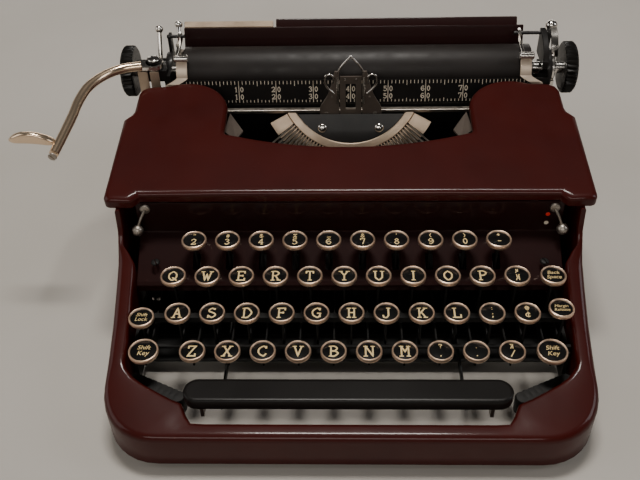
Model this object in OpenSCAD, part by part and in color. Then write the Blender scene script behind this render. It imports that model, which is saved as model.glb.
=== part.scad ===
// Portable manual typewriter. Origin: centre of the base on the desk, +X right, +Y rear, +Z up.

/* [Keyboard] */
// Distance between neighbouring keys in a row
key_pitch = 20; // [19.5:0.1:20.5]
// Diameter of a key's metal ring
key_ring_d = 15; // [13:0.5:15.5]
// Height of the front row's key tops above the desk
front_row_z = 45; // [44:0.5:46]
// Height step from one row to the next
row_step = 10; // [9.5:0.1:10.5]
// Distance from the front row to the machine's middle
front_row_y = -95; // [-96:0.5:-94]
// Distance from one row to the next, front to back
row_pitch = 20; // [19.5:0.1:20.5]

/* [Body] */
// Half the width of the base
base_half_w = 138.2; // [138:0.1:139]
// Front edge of the base
base_front_y = -142.5; // [-144:0.5:-142]
// Rear edge of the base
base_rear_y = 148; // [148:0.5:152]
// Half the width of the deck cover
deck_half_w = 144.6; // [144:0.1:145]
// Height of the deck cover's front edge
deck_front_z = 97.3; // [97.3:0.1:98]

/* [Carriage] */
// Radius of the rubber platen
platen_r = 16; // [15.5:0.1:16]
// Height of the platen's axis
platen_z = 103; // [103:0.1:104]
// Left end of the platen
platen_x0 = -112; // [-113:0.5:-111]
// Right end of the platen
platen_x1 = 124; // [123:0.5:126]
// Diameter of the platen knobs
knob_d = 35; // [33:0.5:35]

/* [Type] */
// Distance from the print point to the type bars' pivots
bar_pivot_r = 52; // [51.8:0.1:52.4]
// Angle between the first and the last type bar
bar_fan = 104; // [96:1:106]

/* [Hidden] */
$fn = 48;
LETTER_ROWS = ["zxcvbnm", "asdfghjkl", "qwertyuiop"];
LETTER_NODES = [for (row = LETTER_ROWS) for (letter = row) str("key_", letter)];

// Keys: first x, row number from the front, count in the row, and how many of them are letters
ROW_X0 = [-88.7, -98.5, -102.6, -91.7];
ROW_COUNT = [10, 11, 11, 10];
LETTERS_IN_ROW = [7, 9, 10, 0];
key_h = 3.2;
lever_t = 1.2;
lever_z = 24;
lever_h = 8;
nose_rise = 9;
fulcrum_y = 70;
fulcrum_z = 30;
fulcrum_r = 2;
bore_gap = 0.05;
shift_left = [-116.4, -95];
shift_right = [113.5, -95];
shift_ring_d = 17.3;
shift_tie_y = 84;
back_space_at = [118, -55, 65];
margin_at = [120.2, -74.5, 58];
margin_ring_d = 14.6;
shift_lock_at = [-120.1, -75, 51];
lock_pivot = [-40, 29];
SPACE_ARMS = [-71.8, 64.9];

sheet_t = 1.6;
base_low = 4;
base_corner_r = 32;
rear_corner_r = 20;
well_half_w = 128;
rear_half_w = 135.2;
foot_front = [120.5, -118];
foot_rear = [120.5, 118];

deck_tilt = 5.4;
deck_front_y = -20;
deck_corner_y = -25;
deck_corner_x = 124;
deck_t = 1.6;
deck_skirt = 7;
deck_lip = 4;
lobe = [107, 58];
lobe_r = 28.5;
opening_y = 21.8;
opening_r = 237;
opening_half_w = 78.5;

platen_y = 109;
shaft_r = 4;
knob_x0 = 146.3;
knob_x1 = 155;
print_point = [2, 91, 106];
segment_tilt = 60;
bar_count = 42;
bar_rest = 118;
bar_t = 1;
slug_reach = 7;
pin_r = 1.2;

function key_x(row, i) = ROW_X0[row] + key_pitch * i;
function key_y(row) = front_row_y + row_pitch * row;
function key_z(row) = front_row_z + row_step * row;
function arc(cx, cy, r, a0, a1, n = 12) =
    [for (i = [0 : n]) [cx + r * cos(a0 + (a1 - a0) * i / n), cy + r * sin(a0 + (a1 - a0) * i / n)]];
function mirrored(points) = [for (i = [len(points) - 1 : -1 : 0]) [-points[i][0], points[i][1]]];
LEVER_XS = concat([for (row = [0 : 3]) for (i = [0 : ROW_COUNT[row] - 1]) key_x(row, i)],
    [shift_left[0], shift_right[0], back_space_at[0], 122.4]);

// ---------- small shapes ----------

// A bar between two corners
module block(low, high) {
    translate(low) cube(high - low);
}

// A round bar along X
module rod_x(x0, x1, y, z, r) {
    translate([x0, y, z]) rotate([0, 90, 0]) cylinder(r = r, h = x1 - x0);
}

// A round bar between two points, with ball ends
module wire(from, to, r) {
    reach = to - from;
    turn = atan2(reach[1], reach[0]);
    lean = acos(reach[2] / norm(reach));
    translate(from) rotate([0, lean, turn]) cylinder(r = r, h = norm(reach));
    translate(from) sphere(r = r);
    translate(to) sphere(r = r);
}

function unit(v) = v / norm(v);

// Point at t along a smooth curve through the route's points; whole numbers of t are the points
function along(route, t) = let (
    last = len(route) - 1,
    i = min(floor(t), last - 1),
    f = t - i,
    p0 = route[max(i - 1, 0)],
    p1 = route[i],
    p2 = route[i + 1],
    p3 = route[min(i + 2, last)])
    0.5 * (2 * p1 + (p2 - p0) * f + (2 * p0 - 5 * p1 + 4 * p2 - p3) * f * f
        + (3 * p1 - p0 - 3 * p2 + p3) * f * f * f);

// A round bar bent along a nearly level route
module bent_bar(route, r, steps, sides = 16) {
    count = (len(route) - 1) * steps;
    rings = [for (k = [0 : count]) let (
        t = k / steps,
        ahead = unit(along(route, min(t + 0.05, len(route) - 1)) - along(route, max(t - 0.05, 0))),
        across = unit(cross([0, 0, 1], ahead)),
        up = cross(ahead, across))
        for (j = [0 : sides - 1])
            along(route, t) + r * (cos(j * 360 / sides) * across + sin(j * 360 / sides) * up)];
    walls = [for (k = [0 : count - 1]) for (j = [0 : sides - 1])
        let (n = (j + 1) % sides) [k * sides + j, (k + 1) * sides + j, (k + 1) * sides + n, k * sides + n]];
    ends = [[for (j = [0 : sides - 1]) j], [for (j = [sides - 1 : -1 : 0]) count * sides + j]];
    polyhedron(rings, concat(walls, ends), convexity = 6);
}

// A flat shape in the YZ plane, drawn as [y, z] points, given a thickness along X
module slab_x(x0, x1, points) {
    translate([x0, 0, 0]) rotate([90, 0, 90]) linear_extrude(x1 - x0) polygon(points);
}

// ---------- keys ----------

// Round key top with a raised metal rim
module key_top(x, y, z, d) {
    translate([x, y, z - key_h]) difference() {
        cylinder(d = d, h = key_h);
        translate([0, 0, key_h - 0.7]) cylinder(d = d - 2.6, h = 1);
    }
}

// Stem under a key top, with a jog when the lever isn't straight below
module key_stem(x, y, z, lever_x) {
    block([lever_x - lever_t / 2, y - 1.5, lever_foot(y)], [lever_x + lever_t / 2, y + 1.5, z - key_h]);
    block([min(x, lever_x) - lever_t / 2, y - 1.5, z - key_h - 1.2],
        [max(x, lever_x) + lever_t / 2, y + 1.5, z - key_h]);
}

// Side view of a key lever; the front row's levers rise towards their keys
function lever_foot(y) = y < key_y(1) - 5 ? lever_z + nose_rise : lever_z;
function lever_outline(y) = [[y - 1.5, lever_foot(y)], [y + 1.5, lever_foot(y)], [y + 22, lever_z],
    [fulcrum_y, lever_z], [fulcrum_y, lever_z + lever_h], [y + 22, lever_z + lever_h],
    [y + 1.5, lever_foot(y) + (lever_foot(y) > lever_z ? 3.4 : lever_h)],
    [y - 1.5, lever_foot(y) + (lever_foot(y) > lever_z ? 3.4 : lever_h)]];

// Flat lever from a key back to the fulcrum rod, with its bore
module key_lever(lever_x, y) {
    difference() {
        union() {
            slab_x(lever_x - lever_t / 2, lever_x + lever_t / 2, lever_outline(y));
            rod_x(lever_x - lever_t / 2, lever_x + lever_t / 2, fulcrum_y, fulcrum_z, 6);
        }
        rod_x(lever_x - 1, lever_x + 1, fulcrum_y, fulcrum_z, fulcrum_r + bore_gap);
    }
}

module key(x, y, z, d, lever_x) {
    key_top(x, y, z, d);
    key_stem(x, y, z, lever_x);
    key_lever(lever_x, y);
}

module row_key(row, i) {
    color("black") key(key_x(row, i), key_y(row), key_z(row), key_ring_d, key_x(row, i));
}

module figure_keys() {
    for (row = [0 : 3])
        for (i = [LETTERS_IN_ROW[row] : ROW_COUNT[row] - 1])
            row_key(row, i);
}

module back_space() {
    color("black") key(back_space_at[0], back_space_at[1], back_space_at[2], key_ring_d, back_space_at[0]);
}

module margin_release() {
    color("black") key(margin_at[0], margin_at[1], margin_at[2], margin_ring_d, 122.4);
}

// Both shift keys on one rocking frame, tied together behind the fulcrum
module shift_keys() {
    color("black") {
        for (at = [shift_left, shift_right]) {
            key_top(at[0], at[1], front_row_z, shift_ring_d);
            key_stem(at[0], at[1], front_row_z, at[0]);
            difference() {
                union() {
                    key_lever(at[0], at[1]);
                    block([at[0] - lever_t / 2, fulcrum_y + 3, lever_z],
                        [at[0] + lever_t / 2, shift_tie_y, lever_z + lever_h]);
                }
                rod_x(at[0] - 1, at[0] + 1, fulcrum_y, fulcrum_z, fulcrum_r + bore_gap);
            }
        }
        rod_x(shift_left[0] - 6, shift_left[0], lock_pivot[0], lock_pivot[1], 1.5);
        rod_x(shift_left[0], shift_right[0], shift_tie_y, lever_z + lever_h / 2, 2.5);
    }
}

// Lock key: a short lever pivoted on the left shift lever
module shift_lock() {
    lock_x = shift_lock_at[0];
    color("black") {
        key_top(lock_x, shift_lock_at[1], shift_lock_at[2], key_ring_d);
        difference() {
            union() {
                block([lock_x - 0.6, shift_lock_at[1] - 1.5, 26], [lock_x + 0.6, lock_pivot[0], 32]);
                block([lock_x - 0.6, shift_lock_at[1] - 1.5, 31],
                    [lock_x + 0.6, shift_lock_at[1] + 1.5, shift_lock_at[2] - key_h]);
                rod_x(lock_x - 0.6, lock_x + 0.6, lock_pivot[0], lock_pivot[1], 4);
            }
            rod_x(lock_x - 1, lock_x + 1, lock_pivot[0], lock_pivot[1], 1.5 + bore_gap);
        }
    }
}

// Space bar with two lifting arms that run back between the key levers
module space_bar() {
    color("black") {
        block([-83.3, -127, 32.5], [81.3, -111, 40]);
        for (end = [-83.3, 81.3])
            translate([end, -119, 32.5]) cylinder(d = 16, h = 7.5);
        for (end = [-81.5, 78.5])
            block([end - 1, -124, 22], [end + 1, -117, 34]);
        for (arm = SPACE_ARMS)
            difference() {
                union() {
                    block([arm - 0.6, -118, 20.5], [arm + 0.6, -52, 24.5]);
                    block([arm - 0.6, -118, 20.5], [arm + 0.6, -113, 35]);
                    rod_x(arm - 0.6, arm + 0.6, -52, 20, 4.5);
                }
                rod_x(arm - 2, arm + 2, -52, 20, 1.5 + bore_gap);
            }
    }
}

// ---------- base ----------

function base_outline(inset) = let (half = concat(
        arc(base_half_w - base_corner_r, base_front_y + base_corner_r, base_corner_r - inset, -90, 0),
        arc(base_half_w - rear_corner_r, base_rear_y - rear_corner_r, rear_corner_r - inset, 0, 90)))
    concat(half, mirrored(half));

// Edge of the keyboard well: corner webs at the front, wider room for the works behind
function well_outline(outset) = let (half = concat([
        [87.5 + outset * 0.4, -132 - outset],
        [93 + outset * 0.7, -120 - outset],
        [99.5 + outset * 0.6, -117.3 - outset],
        [113 + outset * 0.7, -110.5 - outset * 0.9],
        [122 + outset * 0.8, -105 - outset * 0.8],
        [well_half_w + outset, -97 - outset * 0.3],
        [well_half_w + outset, -40 + outset * 0.3],
        [rear_half_w + outset, -34]], arc(rear_half_w - rear_corner_r, base_rear_y - 3 - rear_corner_r,
        rear_corner_r + outset, 0, 90)))
    concat(half, mirrored(half));

// Side view of the base's top edge: low rim, rising arms, tall body under the deck
function deck_under(y) = deck_front_z - deck_skirt - 0.3 + (y - deck_corner_y) * tan(deck_tilt);
BASE_SIDE = concat(
    [[-160, base_low], [-160, 27], [-136, 27.8], [-122, 29.8], [-112, 32.3], [-95, 37.5], [-75, 45],
        [-55, 55.5], [-40, 64.5], [-33, 70.5], [-28.5, 77]],
    [[-26.5, deck_under(-26.5)], [86.2, deck_under(86.2)], [86.2, 76], [160, 71], [160, base_low]]);

module base_ring(outer_inset, inner_outset, low, high) {
    translate([0, 0, low]) linear_extrude(high - low) difference() {
        polygon(base_outline(outer_inset));
        polygon(well_outline(inner_outset));
    }
}

module base_shell() {
    color([0.2, 0.05, 0.04]) {
        difference() {
            intersection() {
                base_ring(0, 0, 0, 110);
                slab_x(-150, 150, BASE_SIDE);
            }
            intersection() {
                base_ring(sheet_t, sheet_t, -1, 110);
                translate([0, 0, -sheet_t * 1.15]) slab_x(-150, 150, BASE_SIDE);
            }
            base_ring(sheet_t, sheet_t, 3, 20);
        }
        for (side = [-1, 1]) {
            translate([side * foot_front[0], foot_front[1], base_low + 1.5]) cylinder(r = 6, h = 25);
            intersection() {
                translate([0, 0, 6]) linear_extrude(3) polygon(base_outline(sheet_t / 2));
                block([side * 120 - 16, 108, 5], [side * 120 + 16, 150, 10]);
            }
        }
    }
}

module foot(x, y, top) {
    translate([x, y, 0]) cylinder(r = 8, h = base_low - 0.3);
    translate([x, y, 0]) cylinder(r = 5.8, h = top);
}

module rubber_feet() {
    color("dimgray") for (side = [-1, 1]) {
        foot(side * foot_front[0], foot_front[1], base_low + 1.5);
        foot(side * foot_rear[0], foot_rear[1], 6);
    }
}

// Upright panel under the deck edge, folding forward into a sloping shelf
module front_panel() {
    half_w = 127.6;
    color([0.2, 0.05, 0.04]) difference() {
        slab_x(-half_w, half_w, [[-18.4, 90.2], [-20, 90.2], [-20, 67.6], [-47.6, 52], [-49.4, 50.4], [-49.4, 45.6],
            [-47.8, 45.6], [-47.8, 49.6], [-18.4, 66.4]]);
        for (i = [0 : ROW_COUNT[3] - 1])
            block([key_x(3, i) - 2.2, -41, 48], [key_x(3, i) + 2.2, -31.5, 68]);
    }
}

// Slotted comb that keeps every key lever upright
module key_comb() {
    difference() {
        block([-124.6, -28, 8], [124.6, -24, 38]);
        for (x = LEVER_XS)
            block([x - 1.1, -30, 13], [x + 1.1, -22, 40]);
    }
}

module inner_frame() {
    color([0.1, 0.1, 0.1]) {
        for (side = [-1, 1]) {
            block([side * 125.5 - 1, -88, 9.2], [side * 125.5 + 1, 118, 34]);
            block([side * 125.5 - 1, -86.5, 30], [side * 125.5 + 1, -84.5, 38]);
            block([side * 125.5 - 1, -66, 30], [side * 125.5 + 1, -62, 40]);
            block([side * 125.5 - 1, -36, 30], [side * 125.5 + 1, 118, 44]);
            block([side * 118 - 16, 38, 73], [side * 118 + 16, 83.6, 74.6]);
            translate([side * lobe[0], lobe[1], 74]) cylinder(r = 2.5, h = 16);
            block([side * 119.5 - 1.5, 83.6, 44], [side * 119.5 + 1.5, 96, 80]);
            block([side * 119.5 - 1.5, 83.6, 44], [side * 119.5 + 1.5, 119, 72]);
            block([side * 122.5 - 4.5, 83.6, 42], [side * 122.5 + 4.5, 118, 46]);
            block([side * 119.5 - 1.5, 38, 60], [side * 119.5 + 1.5, 83.6, 74]);
        }
        key_comb();
        block([-126.5, -73, 8], [126.5, 104, 9.4]);
        rod_x(-126, 126, fulcrum_y, fulcrum_z, fulcrum_r);
        block([-125, -66, 36], [125, -62, 40]);
        block([-125, -86.5, 36], [125, -84.5, 38]);
        for (arm = SPACE_ARMS)
            rod_x(arm - 1.7, arm + 1.7, -52, 20, 1.5);
        block([-125, -54, 8], [125, -50, 12]);
        for (arm = SPACE_ARMS)
            for (side = [-1, 1])
                block([arm + side * 1.3 - 0.4, -54, 10], [arm + side * 1.3 + 0.4, -50, 22]);
        block([-133.8, 116, 12], [133.8, 119, 74]);
        block([-116, 116, 73], [116, 119, 78.8]);
        translate([-80, 118, 52]) rotate([-90, 0, 0]) cylinder(r = 3, h = 17.5);
    }
}

module carriage_rail() {
    color("silver") {
        block([-126, 84, 83.5], [126, 87.6, 85.9]);
        for (side = [-1, 1])
            block([side * 119.5 - 1.5, 84, 80], [side * 119.5 + 1.5, 87.6, 83.5]);
        block([-130, 122, 79], [130, 126, 83]);
        for (x = [-110, 0, 110])
            block([x - 6, 119, 76], [x + 6, 126, 79]);
    }
}

module bell() {
    color("silver") {
        translate([92, 133, 40]) difference() {
            intersection() {
                sphere(r = 11.5);
                block([-12, -12, -2], [12, 12, 12]);
            }
            intersection() {
                sphere(r = 10.3);
                block([-12, -12, -3], [12, 12, 12]);
            }
        }
        translate([92, 133, 30]) cylinder(r = 1.5, h = 22);
        block([89, 119, 29], [95, 135, 31]);
    }
}

module mainspring_drum() {
    color("dimgray") translate([-80, 122.5, 52]) rotate([-90, 0, 0]) difference() {
        cylinder(r = 18, h = 12);
        translate([0, 0, -1]) cylinder(r = 3 + bore_gap, h = 14);
    }
}

// ---------- deck cover ----------

function deck_outline(inset) = let (
    side_x = deck_half_w - inset,
    lobe_edge = lobe_r - inset,
    reach = opening_half_w + inset,
    front = opening_r + inset,
    half = concat(
        [[deck_corner_x + inset, deck_front_y + inset], [deck_corner_x + 4 + inset, deck_corner_y + inset]],
        arc(side_x - 4, deck_corner_y + inset + 4, 4, -90, 0, 4),
        [[side_x, 48], [side_x - 4, 53], [side_x - 5.4, 57], [side_x - 5.6, 76 - inset],
            [side_x - 7.4, 80.4 - inset], [side_x - 11, 82.6 - inset]],
        arc(lobe[0], lobe[1], lobe_edge, 64, 180),
        [[reach, 40]],
        arc(reach - 4, 38 - inset, 4, 0, -65, 4),
        [for (x = [64 : -8 : 8]) [x, opening_y + opening_r - sqrt(front * front - x * x)]]))
    concat(half, mirrored(half));

module deck_layer(outer, inner, thickness) {
    translate([0, deck_corner_y, deck_front_z]) rotate([deck_tilt, 0, 0])
        translate([0, -deck_corner_y, -thickness]) linear_extrude(thickness) difference() {
            polygon(deck_outline(outer));
            if (inner > 0) polygon(deck_outline(inner));
        }
}

module deck_cover() {
    color([0.22, 0.07, 0.05]) {
        deck_layer(0, 0, deck_t);
        deck_layer(0, deck_t, deck_lip);
        difference() {
            deck_layer(0, deck_t, deck_skirt);
            block([-opening_half_w - 25, 0, 60], [opening_half_w + 25, 100, 120]);
        }
    }
}

// ---------- type basket ----------

// Places children in the plane of the type segment, with the print point as origin
module segment_plane() {
    translate(print_point) rotate([segment_tilt, 0, 0]) children();
}

// A ring sector in the segment plane, between two radii, centred on the front
module fan(r0, r1, half_angle, low, high) {
    points = concat(arc(0, 0, r1, -90 - half_angle, -90 + half_angle, 40),
        arc(0, 0, r0, -90 + half_angle, -90 - half_angle, 40));
    translate([0, 0, low]) linear_extrude(high - low) polygon(points);
}

function bar_angle(i) = bar_fan * (i / (bar_count - 1) - 0.5);
H_BAR = 21;

// Half-moon plate inside the ring, cut off level at its top
module half_moon(r, top, low, high) {
    spread = acos(top / r);
    translate([0, 0, low]) linear_extrude(high - low) polygon(arc(0, 0, r, -90 - spread, -90 + spread, 40));
}

module type_segment() {
    mid = print_point[0];
    color([0.35, 0.35, 0.36]) {
        difference() {
            segment_plane() {
                half_moon(43.5, 21, -4.6, -3);
                fan(43.5, 49, 64, -9, -2.4);
                difference() {
                    fan(48.9, 62, 62, -10, 1.2);
                    for (i = [0 : bar_count - 1])
                        rotate(bar_angle(i)) block([-0.75, -66, -6], [0.75, -48.7, 3]);
                }
                for (side = [-1, 1])
                    translate([side * 19.5, -33, -4]) cylinder(r = 3, h = 2);
            }
            block([-60, 81.9, 60], [64, 100, 120]);
        }
        block([mid - 50, 67, 44], [mid + 50, 73, 50]);
        for (side = [-1, 1])
            block([mid + side * 47 - 3, 67, 44], [mid + side * 47 + 3, 78, 76]);
        type_guide(mid);
    }
}

// Upright plate with the window that the type head comes through
module type_guide(mid) {
    difference() {
        block([mid - 7.3, 82.4, 76], [mid + 7.3, 83.6, 113]);
        block([mid - 3.4, 81, 87.5], [mid + 3.4, 85, 107.5]);
    }
    block([mid - 7.3, 77, 76], [mid + 7.3, 83, 79]);
}

// One type bar at rest, in a plane that holds its pivot; drawn from its own direction
module type_bar(i) {
    segment_plane() rotate(bar_angle(i)) translate([0, -bar_pivot_r, 0]) rotate([bar_rest, 0, 0]) {
        difference() {
            union() {
                block([-bar_t / 2, 0, -1.4], [bar_t / 2, bar_pivot_r - slug_reach - 1, 1.4]);
                rotate([0, 90, 0]) cylinder(r = 2.4, h = bar_t, center = true);
            }
            rotate([0, 90, 0]) cylinder(r = 0.8, h = bar_t + 1, center = true);
        }
        block([-1.3, bar_pivot_r - slug_reach - 5.5, -2], [1.3, bar_pivot_r - slug_reach, 2]);
    }
}

module type_bars() {
    color("silver") for (i = [0 : bar_count - 1])
        if (i != H_BAR) type_bar(i);
}

module type_bar_h() {
    color("silver") type_bar(H_BAR);
}

// Ribbon vibrator: two tapered plates beside the guide, joined by a wire peak
module ribbon_vibrator() {
    mid = print_point[0];
    color([0.08, 0.08, 0.08]) for (side = [-1, 1]) {
        translate([mid, 83.6, 0]) rotate([90, 0, 0]) linear_extrude(1.2)
            polygon([for (p = [[7.8, 80], [21, 80], [21, 89], [17.5, 95], [14, 103], [12, 110], [10.5, 117],
                [7.8, 117]]) [side * p[0], p[1]]]);
        wire([mid + side * 9, 83, 116], [mid, 83, 128], 0.8);
        translate([mid + side * 17, 83, 86.5]) rotate([90, 0, 0]) cylinder(r = 2, h = 2);
    }
}

module ribbon_spool(side) {
    color("dimgray") translate([side * lobe[0], lobe[1], 0]) difference() {
        union() {
            translate([0, 0, 75.2]) cylinder(r = 23, h = 1.2);
            translate([0, 0, 75.2]) cylinder(r = 17, h = 14);
            translate([0, 0, 88.2]) cylinder(r = 23, h = 1.2);
        }
        translate([0, 0, 74]) cylinder(r = 2.5 + bore_gap, h = 17);
    }
}

// Small hanging lever with a ball, at one end of the front panel
module panel_lever(side) {
    x = side * 121.5;
    color("silver") {
        translate([x, -20.2, 86.5]) rotate([90, 0, 0]) cylinder(r = 3, h = 2);
        wire([x, -22.2, 86.5], [x + side * 5, -25.5, 76], 0.9);
        translate([x + side * 5.5, -26, 74]) sphere(r = 3.6);
    }
}

// ---------- carriage ----------

module carriage_end(x0, x1) {
    difference() {
        union() {
            rod_x(x0, x1, platen_y, platen_z, 13);
            block([x0, 89.5, 83.5], [x1, 132, 96]);
        }
        rod_x(x0 - 1, x1 + 1, platen_y, platen_z, shaft_r + bore_gap);
    }
}

module carriage_frame() {
    color([0.15, 0.15, 0.15]) {
        carriage_end(-124, -120);
        carriage_end(135, 138);
        block([-124, 89.5, 84], [138, 94, 88]);
        block([-124, 124, 84], [138, 132, 89]);
        block([-140, 90, 106], [-122, 104, 114]);
        block([-124, 90, 90], [-120, 104, 110]);
        translate([-130, 94, 113]) cylinder(r = 2, h = 9);
        translate([-130, 94, 119.2]) cylinder(r = 4.5, h = 2);
        rod_x(-124, -112, 118, 124.5, pin_r);
        rod_x(113, 138, 118, 124.5, pin_r);
        for (x = [-122, 136.5])
            block([x - 1, 114, 100], [x + 1, 121, 126]);
        rod_x(-131.5, -124, 112, 110, pin_r);
        rod_x(-120, -117, 124, 114, pin_r);
    }
}

module scale_plate() {
    color([0.07, 0.07, 0.07]) slab_x(-119.7, 134.7,
        [[88.6, 89], [89.8, 88.6], [93, 104.6], [91.8, 105]]);
}

// Curved sheet behind the platen that leans back into a paper rest
module paper_table() {
    inner = platen_r + 1.5;
    color([0.2, 0.05, 0.04]) {
        slab_x(-114.8, 122.4, concat(arc(platen_y, platen_z, inner, -40, 10, 8), [[133.6, 122]],
            [[135, 121.3]], arc(platen_y, platen_z, inner + 1.4, 10, -40, 8)));
        slab_x(-50, 114, [[133.2, 119.8], [137.6, 126.4], [139, 125.6], [134.6, 119]]);
    }
    color("silver") slab_x(-114.8, -52, [[135.4, 122], [137.4, 125], [139, 124], [136.2, 120.6]]);
}

function ratchet_points() = [for (i = [0 : 59]) let (r = i % 2 == 0 ? 14.5 : 12.8)
    [r * cos(i * 6), r * sin(i * 6)]];

// Rubber sleeve with the line-space ratchet at its left end
module platen_roller() {
    color([0.06, 0.06, 0.06]) difference() {
        union() {
            rod_x(platen_x0, platen_x1, platen_y, platen_z, platen_r);
            rod_x(-114, platen_x0, platen_y, platen_z, 9);
            translate([-116.5, platen_y, platen_z]) rotate([90, 0, 90]) linear_extrude(3) polygon(ratchet_points());
        }
        rod_x(-118, platen_x1 + 1, platen_y, platen_z, shaft_r);
    }
}

module platen_knobs() {
    color("black") {
        rod_x(-knob_x1 + 1, knob_x1 - 1, platen_y, platen_z, shaft_r);
        for (side = [-1, 1])
            difference() {
                translate([side * (knob_x0 + knob_x1) / 2, platen_y, platen_z]) rotate([0, 90, 0])
                    cylinder(d = knob_d, h = knob_x1 - knob_x0, center = true);
                rod_x(side * knob_x1 - 1.6, side * knob_x1 + 1.6, platen_y, platen_z, knob_d / 2 - 3.5);
            }
    }
}

module feed_rollers() {
    color("dimgray") {
        rod_x(-119, 134, platen_y, platen_z - platen_r - 5.1, 1.8);
        for (x = [-90, -5, 80])
            rod_x(x, x + 30, platen_y, platen_z - platen_r - 5.1, 4.8);
    }
}

// Cranked lever: flat bracket on the pivot, round arm, leaf-shaped finger piece
LEVER_ROUTE = [[-138, 90, 118], [-151, 86.5, 118], [-161, 78, 118], [-168.4, 66, 117.5], [-171.8, 52, 116],
    [-173, 36, 114.5], [-174.8, 18, 112.5], [-176.8, 1, 110.6]];
module return_lever() {
    color("silver") {
        difference() {
            union() {
                block([-142, 88, 115], [-127, 98, 118.8]);
                translate([-130, 94, 115]) cylinder(r = 6, h = 3.8);
            }
            translate([-130, 94, 114]) cylinder(r = 2 + bore_gap, h = 6);
        }
        bent_bar(LEVER_ROUTE, 3.2, 3);
        translate([-178, 11, 113]) rotate([20, 0, -3]) translate([-13.4, 0, 1]) rotate([90, 0, 0])
            intersection() {
                translate([0, -18.8, -1.3]) cylinder(r = 24, h = 2.6);
                translate([0, 18.8, -1.3]) cylinder(r = 24, h = 2.6);
            }
    }
}

// Paper finger: small roller on a strap that wraps the front of the platen
module paper_finger(x0, x1) {
    strap = platen_r + 1.2;
    sweep = x0 < 0 ? -8 : 8;
    color("silver") {
        rod_x(x0, x1, 97, 119.2, 2.6);
        intersection() {
            difference() {
                rod_x(x0 + 1, x1 - 1, platen_y, platen_z, strap + 1.2);
                rod_x(x0, x1, platen_y, platen_z, strap);
            }
            block([x0, 80, 106.5], [x1, 97, 122]);
        }
        block([x0 + 1, 88.4, 106.2], [x1 - 1, 92.4, 107.4]);
        translate([0, 89.6, 0]) rotate([90, 0, 0]) linear_extrude(1.2)
            polygon([[x0 + 1, 107.4], [x0 + 1 + sweep * 0.3, 104.6], [x0 + 1 + sweep, 102.5],
                [x1 - 1 + sweep, 102.5], [x1 - 1 + sweep * 0.3, 104.6], [x1 - 1, 107.4]]);
        difference() {
            union() {
                block([x0 + 1, 97, 119.8], [x0 + 3, 118, 122.2]);
                block([x0 + 1, 113.5, 119.8], [x0 + 3, 121, 127.4]);
            }
            rod_x(x0, x0 + 4, 118, 124.5, pin_r + bore_gap);
        }
    }
}

// Small upright lever with a ball end, hinged on the carriage's end plate
module end_lever(x, foot, tip) {
    color("silver") difference() {
        union() {
            translate([x, foot[0], foot[1]]) rotate([0, 90, 0]) cylinder(r = 3, h = 2, center = true);
            wire([x, foot[0], foot[1]], [x, tip[0], tip[1]], 1.6);
            translate([x, tip[0], tip[1]]) sphere(r = 2.8);
        }
        rod_x(x - 2, x + 2, foot[0], foot[1], pin_r + bore_gap);
    }
}

module carriage_release() {
    color("silver") {
        difference() {
            union() {
                rod_x(138.4, 141, platen_y, platen_z, 9);
                block([138.4, 109, 104], [141, 118, 118]);
                block([138.4, 114, 112], [141, 127, 126]);
                block([135, 124, 123.6], [141, 130, 126]);
                translate([139.7, 127, 125]) sphere(r = 4);
            }
            rod_x(137, 142, platen_y, platen_z, shaft_r + bore_gap);
        }
    }
}

// ---------- nodes ----------

base_shell();
front_panel();
inner_frame();
rubber_feet();
carriage_rail();
bell();
deck_cover();
type_segment();
type_bars();
type_bar_h();
ribbon_vibrator();
ribbon_spool(-1);  // ribbon_spool_left
ribbon_spool(1);  // ribbon_spool_right
panel_lever(1);  // ribbon_selector
panel_lever(-1);  // ribbon_reverse
carriage_frame();
scale_plate();
paper_table();
platen_roller();
platen_knobs();
feed_rollers();
return_lever();
paper_finger(-117, -107.5);  // paper_finger_left
paper_finger(114.5, 124);  // paper_finger_right
end_lever(-118.3, [124, 114], [134, 125]);  // paper_release
carriage_release();
end_lever(-129.5, [112, 110], [122, 128]);  // line_space_selector
mainspring_drum();
back_space();
margin_release();
shift_lock();
shift_keys();
space_bar();
figure_keys();
for (row = [0 : 2])
    for (i = [0 : LETTERS_IN_ROW[row] - 1])
        row_key(row, i);
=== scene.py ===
"""Looks of the portable typewriter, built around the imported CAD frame.

Lengths are in millimetres until a mesh is made. X is across, Y to the rear and Z up, as in the CAD.
"""
from math import acos, cos, degrees, hypot, pi, radians, sin, sqrt

import bmesh
import bpy
from mathutils import Matrix, Vector


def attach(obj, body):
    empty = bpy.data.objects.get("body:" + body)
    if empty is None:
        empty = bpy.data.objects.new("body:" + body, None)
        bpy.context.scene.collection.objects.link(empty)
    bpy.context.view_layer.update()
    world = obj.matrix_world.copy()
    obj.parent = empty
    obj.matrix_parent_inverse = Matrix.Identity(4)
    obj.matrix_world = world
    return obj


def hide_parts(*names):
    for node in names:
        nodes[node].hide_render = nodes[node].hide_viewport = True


MM = 0.001
CLOSED = 0.001
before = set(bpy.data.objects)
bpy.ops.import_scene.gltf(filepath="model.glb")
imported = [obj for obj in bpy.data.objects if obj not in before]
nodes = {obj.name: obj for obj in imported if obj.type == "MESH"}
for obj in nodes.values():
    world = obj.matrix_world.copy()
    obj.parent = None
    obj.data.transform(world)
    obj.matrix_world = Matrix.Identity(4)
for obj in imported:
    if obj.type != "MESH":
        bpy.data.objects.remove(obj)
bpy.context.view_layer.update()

# --- driving sizes, as in the CAD ---

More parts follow.
